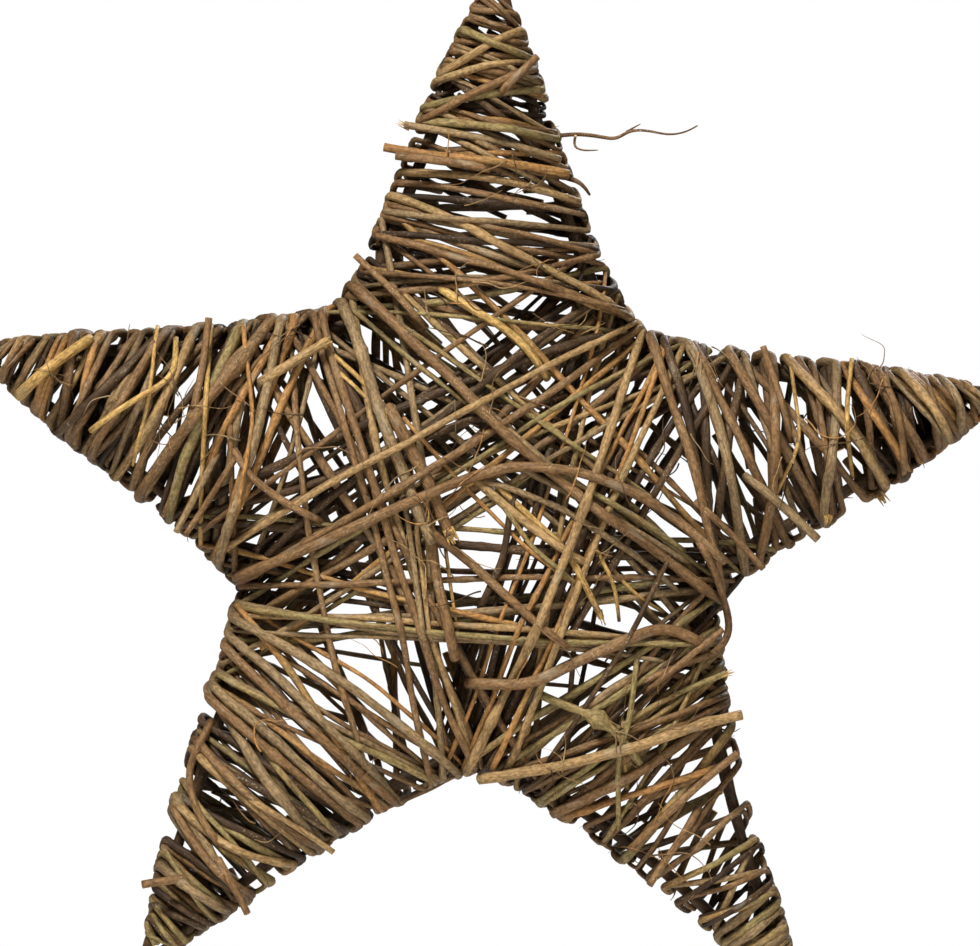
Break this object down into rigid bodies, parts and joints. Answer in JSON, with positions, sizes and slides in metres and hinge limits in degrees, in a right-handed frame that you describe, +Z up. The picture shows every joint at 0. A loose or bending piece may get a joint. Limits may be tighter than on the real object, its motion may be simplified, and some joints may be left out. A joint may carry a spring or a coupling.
{
  "type": "hanging star decoration",
  "caption": "Hollow five-pointed star wound from natural vines round a frame of straight canes, made to hang by its top tip.",
  "frame": {"origin": "the tip of the top arm, where the star is hung", "axes": "+Z up through the hanging tip, +X to the right seen from the front, +Y from the front to the back"},
  "size_m": [0.5045, 0.1188, 0.4989],
  "materials": {
    "cane": "dark brown bark, rough",
    "inner_vine": "dark brown vine bark, rough",
    "outer_vine": "tan and olive vine bark, rough",
    "body_vine": "tan and orange-brown vine bark, rough"
  },
  "bodies": {
    "root": {"top_arm_left_cane": "cane", "top_arm_right_cane": "cane", "top_arm_inner_vine_1": "inner_vine", "top_arm_inner_vine_2": "inner_vine", "top_arm_outer_vine_1": "outer_vine", "top_arm_outer_vine_2": "outer_vine", "left_arm_left_cane": "cane", "left_arm_right_cane": "cane", "left_arm_inner_vine_1": "inner_vine", "left_arm_inner_vine_2": "inner_vine", "left_arm_outer_vine_1": "outer_vine", "left_arm_outer_vine_2": "outer_vine", "lowerLeft_arm_left_cane": "cane", "lowerLeft_arm_right_cane": "cane", "lowerLeft_arm_inner_vine_1": "inner_vine", "lowerLeft_arm_inner_vine_2": "inner_vine", "lowerLeft_arm_outer_vine_1": "outer_vine", "lowerLeft_arm_outer_vine_2": "outer_vine", "lowerRight_arm_left_cane": "cane", "lowerRight_arm_right_cane": "cane", "lowerRight_arm_inner_vine_1": "inner_vine", "lowerRight_arm_inner_vine_2": "inner_vine", "lowerRight_arm_outer_vine_1": "outer_vine", "lowerRight_arm_outer_vine_2": "outer_vine", "right_arm_left_cane": "cane", "right_arm_right_cane": "cane", "right_arm_inner_vine_1": "inner_vine", "right_arm_inner_vine_2": "inner_vine", "right_arm_outer_vine_1": "outer_vine", "right_arm_outer_vine_2": "outer_vine", "body_vine_upper_left_to_right_1": "body_vine", "body_vine_upper_left_to_right_2": "body_vine", "body_vine_upper_right_to_bottom_1": "body_vine", "body_vine_upper_right_to_bottom_2": "body_vine", "body_vine_right_to_left_1": "body_vine", "body_vine_right_to_left_2": "body_vine", "body_vine_bottom_to_upper_left_1": "body_vine", "body_vine_bottom_to_upper_left_2": "body_vine", "body_vine_left_to_upper_right_1": "body_vine", "body_vine_left_to_upper_right_2": "body_vine"}
  },
  "joints": []
}
